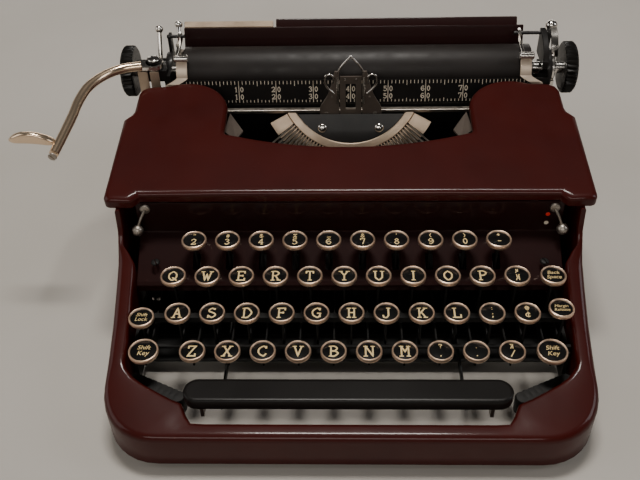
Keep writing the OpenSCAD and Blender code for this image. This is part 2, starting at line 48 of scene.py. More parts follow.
# Keys, front row first, and their levers
KEY_PITCH = 20
ROW_X0 = [-88.7, -98.5, -102.6, -91.7]
ROW_Y = [-95, -75, -55, -35]
ROW_Z = [45, 55, 65, 75]
KEY_D = 15
SHIFT_D = 17.3
SHIFT_X = (-116.4, 113.5)
LOCK_X = -120.1
LEVER_T = 1.2
LEVER_LOW = 24
LEVER_TOP = 32
FULCRUM = (70, 30)
SPACE_X = (-83.3, 81.3)
SPACE_Y = -119
SPACE_R = 8

# Base and deck cover
BASE_HALF_W = 138.2
WELL_HALF_W = 128
BASE_FRONT_Y = -142.5
BASE_REAR_Y = 148
WALL = 3
FOOT_X = 120.5
DECK_TILT = radians(5.4)
DECK_HALF_W = 144.6
DECK_FRONT_Y = -20
DECK_CORNER_Y = -25
DECK_FRONT_Z = 97.3
SKIRT = 7
EDGE_R = 3
LOBE = (107, 58)
LOBE_R = 28.5
OPENING_HALF_W = 78.5
OPENING_R = 237
OPENING_Y = 21.8

# Type basket
PRINT_POINT = Vector((2, 91, 106))
SEGMENT_TILT = radians(60)
MOON_R, MOON_TOP = 43.4, 22.5
COMB_R = (49.1, 61.9)
BACK_Y = 81.85
BAR_COUNT = 42
BAR_FAN = 104
BAR_PIVOT_R = 52
BAR_REST = radians(118)
H_BAR = 21
WIRE_R = 0.75

# Carriage
PLATEN_R = 16
PLATEN_X = (-112, 124)
PLATEN_Y, PLATEN_Z = 109, 103
PLATEN_AXIS = (0, PLATEN_Y, PLATEN_Z)
KNOB_X = 146.3
SCALE_X = (-119.7, 134.7)
SCALE_FOOT = Vector((0, 88.6, 89))
SCALE_TOP = 15.9
PAPER_X = (-114.8, 122.4)
LEVER_PIVOT = (-130, 94)


# --- materials ---

def surface(name, colour, second, rough, metallic=0, coat=0, coat_rough=0.12, scale=60,
            spread=0.12, bump=0.02, grain=900, specks=None, spec=0.5):
    """A shader whose colour drifts between two tones, with uneven gloss and fine relief.

    Specks are given as a colour and how strongly it shows.
    """
    made = bpy.data.materials.new(name)
    made.use_nodes = True
    tree = made.node_tree
    new, link = tree.nodes.new, tree.links.new

    def with_values(node, values):
        for socket, value in values.items():
            node.inputs[socket].default_value = value
        return node

    shader = with_values(tree.nodes["Principled BSDF"], {"Metallic": metallic, "Specular IOR Level": spec})
    place = new("ShaderNodeTexCoord")

    def noise(size, detail=4):
        node = with_values(new("ShaderNodeTexNoise"), {"Scale": size, "Detail": detail})
        link(place.outputs["Object"], node.inputs["Vector"])
        return node.outputs["Fac"]

    ramp = new("ShaderNodeValToRGB")
    for stop, position, tone in zip(ramp.color_ramp.elements, (0.35, 0.68), (colour, second)):
        stop.position = position
        stop.color = (*tone, 1)
    link(noise(scale), ramp.inputs["Fac"])
    tone = ramp.outputs["Color"]
    if specks:
        *speck_colour, strength = specks
        cut = {"From Min": 0.7, "From Max": 0.78, "To Max": strength}
        mask = with_values(new("ShaderNodeMapRange"), cut)
        link(noise(scale * 14, 6), mask.inputs["Value"])
        mix = new("ShaderNodeMix")
        mix.data_type = "RGBA"
        mix.inputs[7].default_value = (*speck_colour, 1)
        link(mask.outputs["Result"], mix.inputs[0])
        link(tone, mix.inputs[6])
        tone = mix.outputs[2]
    link(tone, shader.inputs["Base Color"])
    span = {"From Min": 0.3, "From Max": 0.7, "To Min": rough, "To Max": rough + spread}
    gloss = with_values(new("ShaderNodeMapRange"), span)
    link(noise(scale * 2.7, 6), gloss.inputs["Value"])
    link(gloss.outputs["Result"], shader.inputs["Roughness"])
    relief = with_values(new("ShaderNodeBump"), {"Strength": bump, "Distance": 0.0004})
    link(noise(grain), relief.inputs["Height"])
    link(relief.outputs["Normal"], shader.inputs["Normal"])
    if coat:
        with_values(shader, {"Coat Weight": coat, "Coat Roughness": coat_rough})
        link(relief.outputs["Normal"], shader.inputs["Coat Normal"])
    return made


lacquer = surface(
    "maroon_lacquer", (0.044, 0.0026, 0.0012), (0.036, 0.002, 0.001), 0.45, coat=0.4, scale=28,
    spread=0.1, spec=0.12, bump=0.05, grain=700, specks=(0.16, 0.06, 0.04, 0.25))
# Darker copy of the maroon lacquer, as painted shade: used for the deck's underside, the front panel under
# the deck, the base's feet and the paper rest.
lacquer_painted_shade = surface(
    "maroon_lacquer_painted_shade", (0.016, 0.0026, 0.0022), (0.012, 0.002, 0.0018), 0.5, coat=0.3, scale=28,
    spec=0.1, bump=0.05, grain=700, specks=(0.12, 0.05, 0.035, 0.2))
enamel = surface(
    "black_enamel", (0.007, 0.0065, 0.0065), (0.012, 0.01, 0.009), 0.42, coat=0.2, coat_rough=0.15,
    scale=45, spec=0.2, specks=(0.1, 0.085, 0.07, 0.35))
satin = surface(
    "black_satin", (0.007, 0.007, 0.007), (0.012, 0.011, 0.01), 0.45, spec=0.25, spread=0.15,
    bump=0.05, specks=(0.08, 0.07, 0.06, 0.3))
black_gloss = surface(
    "black_gloss", (0.005, 0.005, 0.005), (0.008, 0.008, 0.008), 0.16, coat=0.5, coat_rough=0.05, scale=80,
    spread=0.08, spec=0.3)
plate_grey = surface(
    "oiled_plate", (0.12, 0.096, 0.08), (0.18, 0.145, 0.12), 0.28, metallic=0.4, scale=50,
    specks=(0.18, 0.15, 0.12, 0.4))
# The black rubber's warm brown tint is painted warm light; the feed rollers use it too.
platen_rubber = surface(
    "platen_rubber", (0.0105, 0.008, 0.007), (0.017, 0.013, 0.0115), 0.42, scale=35, spec=0.35,
    spread=0.16, bump=0.12, grain=1500, specks=(0.06, 0.05, 0.045, 0.3))
foot_rubber = surface(
    "foot_rubber", (0.018, 0.018, 0.018), (0.03, 0.029, 0.028), 0.7, scale=90, bump=0.25, grain=900)
knob_plastic = surface(
    "knob_plastic", (0.005, 0.0045, 0.004), (0.008, 0.007, 0.006), 0.24, scale=70, spec=0.2,
    spread=0.18, bump=0.06)
bar_plastic = surface(
    "bar_plastic", (0.006, 0.005, 0.0045), (0.008, 0.007, 0.0065), 0.3, scale=10, spread=0.06, spec=0.2)
chrome = surface(
    "chrome", (0.78, 0.75, 0.71), (0.66, 0.62, 0.57), 0.1, metallic=1, scale=50, spread=0.14,
    bump=0.03, specks=(0.25, 0.2, 0.15, 0.35))
nickel = surface(
    "satin_nickel", (0.56, 0.44, 0.33), (0.44, 0.34, 0.25), 0.36, metallic=0.7, scale=70, spread=0.14,
    bump=0.06, specks=(0.25, 0.2, 0.15, 0.35))
key_nickel = surface(
    "key_nickel", (0.86, 0.63, 0.46), (0.74, 0.51, 0.36), 0.3, metallic=0.85, scale=120, spread=0.1,
    specks=(0.3, 0.2, 0.12, 0.25))
bright_nickel = surface(
    "bright_nickel", (0.88, 0.68, 0.49), (0.82, 0.62, 0.44), 0.16, metallic=0.92, scale=10, spread=0.06,
    bump=0.01)
brushed_nickel = surface(
    "brushed_nickel", (0.66, 0.54, 0.43), (0.58, 0.47, 0.37), 0.34, metallic=0.45, scale=30,
    spread=0.1, bump=0.03, specks=(0.3, 0.22, 0.15, 0.2))
steel = surface(
    "worn_steel", (0.46, 0.42, 0.37), (0.3, 0.26, 0.22), 0.28, metallic=1, scale=90, spread=0.25,
    bump=0.12, grain=600, specks=(0.12, 0.09, 0.07, 0.6))
cream = surface("cream_paint", (0.8, 0.6, 0.28), (0.68, 0.49, 0.22), 0.5, scale=220)
pale = surface("pale_paint", (0.86, 0.76, 0.62), (0.74, 0.64, 0.5), 0.5, scale=220)
red = surface("red_paint", (0.85, 0.03, 0.02), (0.75, 0.025, 0.015), 0.3, scale=220)


# --- mesh helpers ---

def new_object(name, data):
    """A new object in the scene."""
    made = bpy.data.objects.new(name, data)
    bpy.context.scene.collection.objects.link(made)
    return made


class Parts:
    """Collects shapes, each with its material, into one piece."""

    def __init__(self):
        self.verts, self.faces, self.marks, self.materials = [], [], [], []

    def add(self, shape, material, move=None):
        verts, faces = shape
        if material not in self.materials:
            self.materials.append(material)
        start = len(self.verts)
        self.verts += [tuple(move @ Vector(v)) if move else tuple(v) for v in verts]
        self.faces += [[start + i for i in face] for face in faces]
        self.marks += [self.materials.index(material)] * len(faces)

    def make(self, name, body, slot, replaces=(), sharp=38):
        """Makes the piece, smooth except at edges over sharp degrees, and lets it ride on a body."""
        mesh = bpy.data.meshes.new(name)
        mesh.from_pydata([Vector(v) * MM for v in self.verts], [], self.faces)
        for material in self.materials:
            mesh.materials.append(material)
        mesh.polygons.foreach_set("material_index", self.marks)
        work = bmesh.new()
        work.from_mesh(mesh)
        bmesh.ops.recalc_face_normals(work, faces=work.faces)
        for face in work.faces:
            face.smooth = True
        for edge in work.edges:
            edge.smooth = len(edge.link_faces) == 2 and edge.calc_face_angle(0) < radians(sharp)
        work.to_mesh(mesh)
        work.free()
        piece = new_object(name, mesh)
        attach(piece, body)
        if replaces:
            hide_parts(*replaces)


def loft(rows, closed_rows=False, caps=False):
    """Quads between rows of points; caps closes the ends."""
    count = len(rows[0])
    faces = []
    for r in range(len(rows) if closed_rows else len(rows) - 1):
        below = (r + 1) % len(rows)
        for c in range(count):
            n = (c + 1) % count
            faces.append([r * count + c, r * count + n, below * count + n, below * count + c])
    if caps:
        faces.append(list(range(count))[::-1])
        faces.append([(len(rows) - 1) * count + c for c in range(count)])
    return [p for row in rows for p in row], faces


def whole_turn(count):
    """Angles in even steps round a circle."""
    return [2 * pi * k / count for k in range(count)]


def aim(verts, axis, centre):
    """Turns a shape from Z to another axis, and moves it to its centre."""
    moved = []
    for x, y, h in verts:
        turned = {"X": (h, x, y), "-X": (-h, x, y), "Y": (x, h, -y), "-Y": (x, -h, y), "Z": (x, y, h)}[axis]
        moved.append(tuple(a + b for a, b in zip(turned, centre)))
    return moved


def lathe(profile, segments=40, axis="Z", centre=(0, 0, 0)):
    """A turned shape from (radius, height) points; a radius of zero closes it."""
    rows = [[(r * cos(t), r * sin(t), h) for t in whole_turn(segments)]
            for r, h in [(max(r, CLOSED), h) for r, h in profile]]
    verts, faces = loft(rows)
    return aim(verts, axis, centre), faces


def prism(outline, low, high, edge=0.3, to_world=lambda u, v, h: (u, v, h)):
    """A flat plate with chamfered rims; to_world turns (u, v, height) into x, y, z."""
    inner = offset(outline, edge)
    layers = [(inner, low), (outline, low + edge), (outline, high - edge), (inner, high)]
    return loft([[to_world(u, v, h) for u, v in ring] for ring, h in layers], caps=True)


def along_x(outline, x0, x1, edge=0.3):
    """A plate between x0 and x1, with its outline given as (y, z) points."""
    return prism(outline, x0, x1, edge, lambda u, v, h: (h, u, v))


def offset(points, d):
    """The outline moved inwards by d, with mitred corners."""
    if area(points) < 0:
        d = -d
    moved = []
    for i, (x, y) in enumerate(points):
        ax, ay = points[i - 1]
        bx, by = points[(i + 1) % len(points)]
        first = Vector((x - ax, y - ay)).normalized()
        second = Vector((bx - x, by - y)).normalized()
        normal = Vector((-first.y - second.y, first.x + second.x))
        if normal.length < 1e-6:
            normal = Vector((-first.y, first.x))
        normal.normalize()
        reach = max(0.5, normal.dot(Vector((-first.y, first.x))))
        moved.append((x + normal.x * d / reach, y + normal.y * d / reach))
    return moved


def area(points):
    """Signed area, above zero for a counter-clockwise outline."""
    return sum(points[i - 1][0] * p[1] - p[0] * points[i - 1][1] for i, p in enumerate(points)) / 2


def arc(cx, cy, r, a0, a1, n=12):
    """Points on a circle, from a0 to a1 degrees in n steps."""
    turns = [radians(a0 + (a1 - a0) * i / n) for i in range(n + 1)]
    return [(cx + r * cos(t), cy + r * sin(t)) for t in turns]


def rectangle(x0, y0, x1, y1):
    return [(x0, y0), (x1, y0), (x1, y1), (x0, y1)]


def box(low, high, edge=0.3):
    """A block between two corners, with chamfered rims."""
    (x0, y0, z0), (x1, y1, z1) = low, high
    return prism(rectangle(x0, y0, x1, y1), z0, z1, min(edge, (x1 - x0) / 3, (y1 - y0) / 3))


def smooth_curve(points, steps):
    """Points of a smooth curve, each with the number of its stretch and the share of it passed."""
    last = len(points) - 1
    for i in range(last):
        p0, p1, p2, p3 = points[max(i - 1, 0)], points[i], points[i + 1], points[min(i + 2, last)]
        for k in range(steps + (i == last - 1)):
            f = k / steps
            yield 0.5 * (2 * p1 + (p2 - p0) * f + (2 * p0 - 5 * p1 + 4 * p2 - p3) * f * f
                         + (3 * p1 - p0 - 3 * p2 + p3) * f ** 3), i, f


def tube(route, radii, sides=14, steps=6):
    """A round bar through the points, with a radius at each."""
    line, sizes = [], []
    for p, i, f in smooth_curve([Vector(p) for p in route], steps):
        line.append(p)
        sizes.append(radii[i] + (radii[i + 1] - radii[i]) * f)
    rows = []
    side = None
    for i, p in enumerate(line):
        ahead = (line[min(i + 1, len(line) - 1)] - line[max(i - 1, 0)]).normalized()
        if side is None:
            guess = Vector((0, 0, 1)) if abs(ahead.z) < 0.8 else Vector((1, 0, 0))
            side = ahead.cross(guess).normalized()
        side = (side - ahead * side.dot(ahead)).normalized()
        up = side.cross(ahead)
        rows.append([p + side * cos(t) * sizes[i] + up * sin(t) * sizes[i] for t in whole_turn(sides)])
    return loft(rows, caps=True)


def ball(centre, r, rings=12, segments=24):
    """A sphere."""
    profile = [(r * sin(pi * k / rings), -r * cos(pi * k / rings)) for k in range(rings + 1)]
    return lathe(profile, segments, centre=centre)


def screw_head(centre, r, axis, slot_turn, height):
    """A domed screw head: two half domes with a slot between them."""
    verts, faces = [], []
    gap = r * 0.14
    steps, sides = 4, 10
    for half in (-1, 1):
        rows = []
        for k in range(steps + 1):
            lift = height * sin(pi / 2 * k / steps)
            reach = max(r * cos(pi / 2 * k / steps) ** 0.6 if k < steps else 0, 0.15 * r)
            curved = [(half * (gap + (reach - gap) * sin(pi * j / sides)),
                       -reach * cos(pi * j / sides)) for j in range(1, sides)]
            ring = [(gap * half, -reach), *curved, (gap * half, reach)]
            rows.append([(x, y, lift) for x, y in ring])
        rows.insert(0, [(x, y, -0.3) for x, y, z in rows[0]])
        part, quads = loft(rows, caps=True)
        start = len(verts)
        verts += part
        faces += [[start + i for i in face] for face in quads]
    turn = Matrix.Rotation(radians(slot_turn), 4, "Z")
    return aim([turn @ Vector(v) for v in verts], axis, centre), faces


def dress(node, material, bevel):
    """A CAD node that keeps its shape: its material, and softened edges."""
    piece = nodes[node]
    piece.data.materials.clear()
    piece.data.materials.append(material)
    weld = piece.modifiers.new("weld", "WELD")
    weld.merge_threshold = 0.01 * MM
    soft = piece.modifiers.new("soft_edges", "BEVEL")
    soft.width = bevel * MM
    soft.segments = 2
    soft.limit_method = "ANGLE"
    soft.angle_limit = radians(40)
    soft.use_clamp_overlap = True


def cut_behind(shape, y=BACK_Y):
    """The part of a shape in front of the plane at y, closed with a flat face."""
    work = bmesh.new()
    corners = [work.verts.new(v) for v in shape[0]]
    for face in shape[1]:
        work.faces.new([corners[i] for i in face])
    geometry = [*work.verts, *work.edges, *work.faces]
    bmesh.ops.bisect_plane(work, geom=geometry, plane_co=(0, y, 0), plane_no=(0, 1, 0), clear_outer=True)
    rim = [edge for edge in work.edges if len(edge.link_faces) == 1]
    bmesh.ops.holes_fill(work, edges=rim, sides=0)
    work.verts.index_update()
    result = [tuple(v.co) for v in work.verts], [[v.index for v in face.verts] for face in work.faces]
    work.free()
    return result


# --- legends ---

# Each glyph is a list of strokes on a grid of 10 by 14, two hexadecimal digits to a point.
# "~" makes a stroke smooth, and "_" puts a slab serif at a point.
GLYPHS = {
    "A": "105e90 3575 _10 _90", "B": "202e ~2e6e9b6727 ~2767a46020 _2e _20", "C": "~9b6e1a146093 9b9e",
    "D": "202e ~2e6ea9a56020 _2e _20", "E": "202e 2e9e9b 2777 7678 209093 _2e _20",
    "F": "202e 2e9e9b 2777 7678 _20 _2e", "G": "~9b6e1a146093 9196 66a6 9b9e",
    "H": "202e 808e 2787 _20 _2e _80 _8e", "I": "505e _50 _5e", "J": "7e73 ~73502013 _7e",
    "K": "202e 259e 4890 _20 _2e _9e _90", "L": "202e 209094 _2e _20", "M": "101e569e90 _10 _90 _1e _9e",
    "N": "101e909e _10 _9e _1e", "O": "~5e1a1450949a5e", "P": "202e ~2e6e9b6727 _20 _2e",
    "Q": "~5e1a1450949a5e 54a0", "R": "202e ~2e6e9b6727 5790 _20 _2e _90",
    "S": "~8c5e2c2986935013 8c8e 1013", "T": "505e 1b1e9e9b _50", "U": "1e14 ~145094 949e _1e _9e",
    "V": "1e509e _1e _9e", "W": "0e305a70ae _0e _ae", "X": "109e 1e90 _10 _9e _1e _90",
    "Y": "1e579e 5750 _1e _9e _50", "Z": "1b1e9e109093", "0": "~5e2a2450848a5e", "1": "505e 5e3b _50",
    "2": "~1b5e9b7610 109093", "3": "~1c5e8b58 ~58945012", "4": "707e 7e1494 _70",
    "5": "8e2e28 ~2869945012", "6": "~8c5e191450946825", "7": "1b1e9e50", "8": "~5e2b588b5e ~5814509458",
    "9": "~2250959a5e1a4688", '"': "3b3e 7b7e", "#": "314d 617d 1595 1999", "$": "~8c5e2c2986935013 505f",
    "%": "109e ~3e1c3a5c3e ~7452709274", "_": "01a1", "&": "~903b5e7b13306096", "'": "5b5e",
    "(": "~7e4a4470", ")": "~3e6a6430", "*": "555d 278b 2b87", "-": "2787", ":": "5253 5859",
    ";": "5340 5859", "@": "~7a4a35657a ~7a8596a95e1a145083", "c": "~895b18144283 515d",
    "h": "383e 108e 747a 5575", "q": "383e 108e 707a 5474", "t": "1e4e3a 108e 707a 5474",
    "?": "~1b5e9b5755 5152", ",": "5240", ".": "5152", "/": "109e"}


STROKE_HALF = 0.95
GLYPH_H = 14
GLYPH_STEP = 12.5


def strokes(char):
    """Polylines of a glyph with their half widths, in grid units."""
    for stroke in GLYPHS[char].split():
        digits = stroke.lstrip("~_")
        points = [Vector((int(digits[i], 16), int(digits[i + 1], 16))) for i in range(0, len(digits), 2)]
        if stroke[0] == "_":
            reach = Vector((2.1, 0))
            yield [points[0] - reach, points[0] + reach], 0.7
        elif stroke[0] == "~":
            yield [p for p, i, f in smooth_curve(points, 5)], STROKE_HALF
        else:
            line = [points[0]]
            for a, b in zip(points, points[1:]):
                count = max(1, round((b - a).length / 2.4))
                line += [a.lerp(b, k / count) for k in range(1, count + 1)]
            yield line, STROKE_HALF


def legend(text, centre, height, place, boldness=1):
    """Flat lettering: place(u, v, lift) turns millimetres about the centre into a point."""
    verts, faces = [], []
    size = height / GLYPH_H
    start_u = -(len(text) - 1) * GLYPH_STEP / 2
    count = 0
    for n, char in enumerate(text):
        for line, half in strokes(char):
            half *= boldness
            count += 1
            left, right = [], []
            for i, p in enumerate(line):
                before = (p - line[i - 1]).normalized() if i else (line[1] - p).normalized()
                after = (line[i + 1] - p).normalized() if i < len(line) - 1 else before
                ahead = before + after
                ahead = ahead.normalized() if ahead.length > 0.3 else before
                normal = Vector((-ahead.y, ahead.x))
                reach = half / max(0.6, normal.dot(Vector((-before.y, before.x))))
                end = ahead * half * 0.5 * ((i == len(line) - 1) - (i == 0))
                left.append(p + normal * reach + end)
                right.append(p - normal * reach + end)
            base = len(verts)
            for a, b in zip(left, right):
                for q in (a, b):
                    u = centre[0] + (start_u + n * GLYPH_STEP + q.x - 5) * size
                    v = centre[1] + (q.y - GLYPH_H / 2) * size
                    verts.append(place(u, v, 0.0015 * (count % 9)))
            faces += [[base + 2 * i, base + 2 * i + 1, base + 2 * i + 3, base + 2 * i + 2]
                      for i in range(len(line) - 1)]
    return verts, faces


def word(text, size, line_gap, place):
    """Flat lettering in the built-in type face; a slash starts a new line."""
    verts, faces = [], []
    for row, line in enumerate(text.split("/")):
        curve = bpy.data.curves.new("word", "FONT")
        curve.body = line
        curve.size = size
        curve.align_x = "CENTER"
        curve.shear = 0.2
        carrier = new_object("word", curve)
        flat = bpy.data.meshes.new_from_object(carrier.evaluated_get(bpy.context.evaluated_depsgraph_get()))
        drop = (text.count("/") / 2 - row) * line_gap - size * 0.33
        base = len(verts)
        verts += [place(v.co.x, v.co.y + drop, 0) for v in flat.vertices]
        faces += [[base + i for i in face.vertices] for face in flat.polygons]
        bpy.data.meshes.remove(flat)
        bpy.data.objects.remove(carrier)
    return verts, faces


# --- keys ---

def key_face_lift(r, radius):
    """Height of the glass of a key top, below its ring's crown."""
    return -0.32 - 0.45 * (r / radius) ** 2


def key_top(parts, x, y, z, d, label):
    """Nickel ring, black glazed face and legend of one key."""
    r = d / 2
    face_r = r - 1.1
    ring = [(r - 2, -2.6), (r - 0.9, -3.2), (r - 0.35, -3.1), (r - 0.05, -2.6), (r, -1.3), (r - 0.08, -0.5),
            (r - 0.3, -0.12), (r - 0.6, 0), (r - 0.88, -0.1), (r - 1.12, -0.4), (r - 1.22, -1.2)]
    parts.add(lathe(ring, 36, centre=(x, y, z)), key_nickel)
    radii = [face_r * k / 6 for k in range(7)]
    dome = [(radius, key_face_lift(radius, face_r)) for radius in radii]
    parts.add(lathe([(r - 2, -2.9), (face_r, -1.1)] + dome[::-1], 36, centre=(x, y, z)), black_gloss)
    parts.add(lathe([(0, -3), (r - 2.2, -2.9), (r - 1.8, -2.4)], 36, centre=(x, y, z)), satin)

    def place(u, v, lift):
        return x + u, y + v, z + key_face_lift(hypot(u, v), face_r) + 0.035 + lift

    if "|" in label:
        upper, lower = label.split("|")
        parts.add(legend(upper, (0, 3.1), 3.2, place), cream)
        parts.add(legend(lower, (0, -2), 4.3, place), cream)
    elif len(label) == 1:
        parts.add(legend(label, (0, -0.5), 7, place), cream)
    else:
        size = 4.3 if d > 15.5 else 3.7 if len(label) < 12 else 2.9
        parts.add(word(label, size, size * 0.95, place), cream)


def plate_at(x, points, t=LEVER_T):
    """A flat plate of thickness t at x, with its outline given as (y, z) points."""
    return along_x(points, x - t / 2, x + t / 2, min(0.25, t / 4))


def key_works(parts, x, y, z, lever_x):
    """Stem and lever under a key top."""
    top = z - 3.1
    raised = y < ROW_Y[1] - 5
    foot = LEVER_LOW + 9 if raised else LEVER_LOW
    crown = foot + 3.4 if raised else LEVER_TOP
    parts.add(plate_at(lever_x, rectangle(y - 1.5, foot, y + 1.5, top)), satin)
    if abs(lever_x - x) > 0.3:
        low, high = min(x, lever_x) - LEVER_T / 2, max(x, lever_x) + LEVER_T / 2
        parts.add(box((low, y - 1.5, top - 1.2), (high, y + 1.5, top), 0.2), satin)
    parts.add(lathe([(1.6, 0), (2.6, 0.2), (2.6, 1.2)], 16, centre=(x, y, top - 1.1)), satin)
    lever = [(y - 1.5, foot), (y + 1.5, foot), (y + 22, LEVER_LOW), *arc(*FULCRUM, 6, -88, 88, 14),
             (FULCRUM[0] - 6, LEVER_TOP), (y + 22, LEVER_TOP), (y + 1.5, crown), (y - 1.5, crown)]
    parts.add(plate_at(lever_x, lever), satin)
    hub = rectangle(2.1, -0.75, 3.6, 0.75)
    parts.add(lathe(hub, 20, "X", (lever_x, *FULCRUM)), steel)


def row_key_labels():
    """(row, place in the row, label) for every key of the four rows."""
    letters = ["ZXCVBNM", "ASDFGHJKL", "QWERTYUIOP"]
    extra = [["?|,", ".|.", "t|/"], [":|;", "@|c"], ["h|q"]]
    for row in range(3):
        for i, label in enumerate(list(letters[row]) + extra[row]):
            yield row, i, label
    for i, label in enumerate(['"|2', "#|3", "$|4", "%|5", "_|6", "&|7", "'|8", "(|9", ")|0", "*|-"]):
        yield 3, i, label


figures = Parts()
for row, place_in_row, label in row_key_labels():
    key_x = ROW_X0[row] + KEY_PITCH * place_in_row
    target = Parts() if len(label) == 1 else figures
    key_top(target, key_x, ROW_Y[row], ROW_Z[row], KEY_D, label)
    key_works(target, key_x, ROW_Y[row], ROW_Z[row], key_x)
    if len(label) == 1:
        node = "key_" + label.lower()
        target.make("key_top_" + label.lower(), node + "_body", "key_metal", [node])
figures.make("figure_key_tops", "figure_keys_body", "key_metal", ["figure_keys"])

back_space = Parts()
key_top(back_space, 118, -55, 65, KEY_D, "Back/Space")
key_works(back_space, 118, -55, 65, 118)
back_space.make("back_space_key", "back_space_body", "key_metal", ["back_space"])

margin = Parts()
key_top(margin, 120.2, -74.5, 58, 14.6, "Margin/Release")
key_works(margin, 120.2, -74.5, 58, 122.4)
margin.make("margin_release_key", "margin_release_body", "key_metal", ["margin_release"])

shift = Parts()
for key_x in SHIFT_X:
    key_top(shift, key_x, -95, 45, SHIFT_D, "Shift/Key")
    key_works(shift, key_x, -95, 45, key_x)
    shift.add(plate_at(key_x, rectangle(70, LEVER_LOW, 84, LEVER_TOP)), satin)
shift.add(lathe([(0, -117), (2.5, -117), (2.5, 114.1), (0, 114.1)], 20, "X", (0, 84, 28)), satin)
shift.add(lathe([(0, -122.4), (1.5, -122.4), (1.5, SHIFT_X[0])], 16, "X", (0, -40, 29)), steel)
shift.make("shift_key_tops", "shift", "key_metal", ["shift_keys"])

lock = Parts()
key_top(lock, LOCK_X, -75, 51, KEY_D, "Shift/Lock")
lock_lever = [(-76.5, 26), (-40, 25), *arc(-40, 29, 4, -80, 80, 10), (-44, 32), (-73.5, 32), (-73.5, 47.9),
              (-76.5, 47.9)]
lock.add(plate_at(LOCK_X, lock_lever), satin)
lock.make("shift_lock_key", "lock", "key_metal", ["shift_lock"])


# --- space bar ---

def capsule(inset):
    """Outline of the space bar, seen from above."""
    left, right = SPACE_X
    r = SPACE_R - inset
    return arc(right, SPACE_Y, r, -90, 90, 14) + arc(left, SPACE_Y, r, 90, 270, 14)


space = Parts()
bar_levels = [(3, 32.5), (0.6, 32.5), (0.1, 33), (0, 34), (0, 38.3), (0.18, 39.1), (0.6, 39.7),
              (1.3, 40), (2.5, 40)]
space.add(loft([[(x, y, z) for x, y in capsule(inset)] for inset, z in bar_levels], caps=True), bar_plastic)
for end in (-81.5, 78.5):
    space.add(box((end - 1, -124, 22), (end + 1, -117, 32.8)), steel)
for arm in (-71.8, 64.9):
    outline = [(-118, 20.5), (-52, 15.6), *arc(-52, 20, 4.5, -80, 90, 10), (-112.5, 24.5), (-113, 33.3),
               (-118, 33.3)]
    space.add(plate_at(arm, outline), satin)
space.make("space_bar_cap", "space_key", "space_bar_plastic", ["space_bar"])


# --- base ---

# (y, z) points of the side view, front to rear
SIDE_TOP = [(-160, 27), (-136, 27.8), (-122, 29.8), (-112, 32.3), (-95, 37.5), (-75, 45), (-55, 55.5),
            (-40, 64.5), (-33, 70.5), (-28.5, 77), (-26.5, 89.8), (86, 100.4), (86.3, 76), (160, 71)]


def side_top(y):
    """Height of the base's top edge, from the side view."""
    for (y0, z0), (y1, z1) in zip(SIDE_TOP, SIDE_TOP[1:]):
        if y <= y1:
            return z0 + (z1 - z0) * (y - y0) / (y1 - y0)
    return SIDE_TOP[-1][1]


def base_stations():
    """Outer and inner points of the rim's right half, from front to rear."""
    pairs = [((x, BASE_FRONT_Y), (x, -132)) for x in (0, 20, 40, 60, 74, 80)]
    corner = [(88, 86.8, -131.6), (96, 89.6, -127.5), (101.5, 91.8, -122.6)]
    pairs += [((x, BASE_FRONT_Y), (inner_x, inner_y)) for x, inner_x, inner_y in corner]
    web = [(93.1, -119.9), (95.9, -118.7), (99.3, -117.4), (103.5, -115.3), (108, -113), (113, -110.4),
           (117, -108.2), (122, -104.8), (126.6, -99.6)]
    front_r, rear_r = 32, 20
    pairs += zip(arc(BASE_HALF_W - front_r, BASE_FRONT_Y + front_r, front_r, -90, 0, 8), web)
    well = (-97, -92, -86, -80, -74, -68, -62, -56, -51, -46, -42)
    pairs += [((BASE_HALF_W, y), (WELL_HALF_W, y)) for y in well]
    pairs += [((BASE_HALF_W, -37.2), (131.6, -37.2)), ((BASE_HALF_W, -34.2), (135, -34.2))]
    arm = (-31, -29, -27.5, -26.5, -24, -10, 10, 35, 60, 85.9, 86.4, 100, 115)
    pairs += [((BASE_HALF_W, y), (BASE_HALF_W - WALL, y)) for y in arm]
    x, y = BASE_HALF_W - rear_r, BASE_REAR_Y - rear_r
    pairs += zip(arc(x, y, rear_r, 0, 90, 8), arc(x - WALL, y - WALL, rear_r, 0, 90, 8))
    pairs += [((x, BASE_REAR_Y), (x, BASE_REAR_Y - WALL)) for x in (95, 60, 30, 0)]
    return pairs


def base_section(outer, inner, side):
    """Closed ring of points round the hollow rim at one station."""
    outer, inner = Vector(outer), Vector(inner)
    across = (inner - outer).normalized()
    width = (inner - outer).length
    sheet = min(1.6, width * 0.4)
    round_r = min(4.2, width * 0.42)
    inner_r = round_r * 0.7
    turns = [radians(90 * k / 5) for k in range(6)]
    line = [(0, 4, True)]
    line += [(round_r * (1 - cos(a)), -round_r * (1 - sin(a)), False) for a in turns]
    line += [(width - inner_r * (1 - sin(a)), -inner_r * (1 - cos(a)), False) for a in turns]
    line += [(width, 5, True), (width - sheet, 5, True), (width - sheet, -inner_r - sheet, False),
             (sheet, -round_r - sheet, False), (sheet, 4, True)]
    ring = []
    for reach, height, from_ground in line:
        p = outer + across * reach
        ring.append((side * p.x, p.y, height if from_ground else side_top(p.y) + height))
    return ring


stations = base_stations()
rings = [base_section(a, b, 1) for a, b in stations]
rings += [base_section(a, b, -1) for a, b in stations[-2:0:-1]]
shell = Parts()
shell.add(loft(rings, closed_rows=True), lacquer)
# The feet under the base are in the darker lacquer, as painted shade.
for foot in (-FOOT_X, FOOT_X):
    post = [(5.2, 25.5), (5.8, 25.5), (6, 5.6), (5.2, 5.5)]
    shell.add(lathe(post, 24, centre=(foot, -118, 0)), lacquer_painted_shade)
    shell.add(box((foot - 13, 108, 6), (foot + 13, 138, 8.6)), lacquer_painted_shade)
shell.make("base_body", "base", "lacquer", ["base_shell"], sharp=50)


# --- deck cover ---

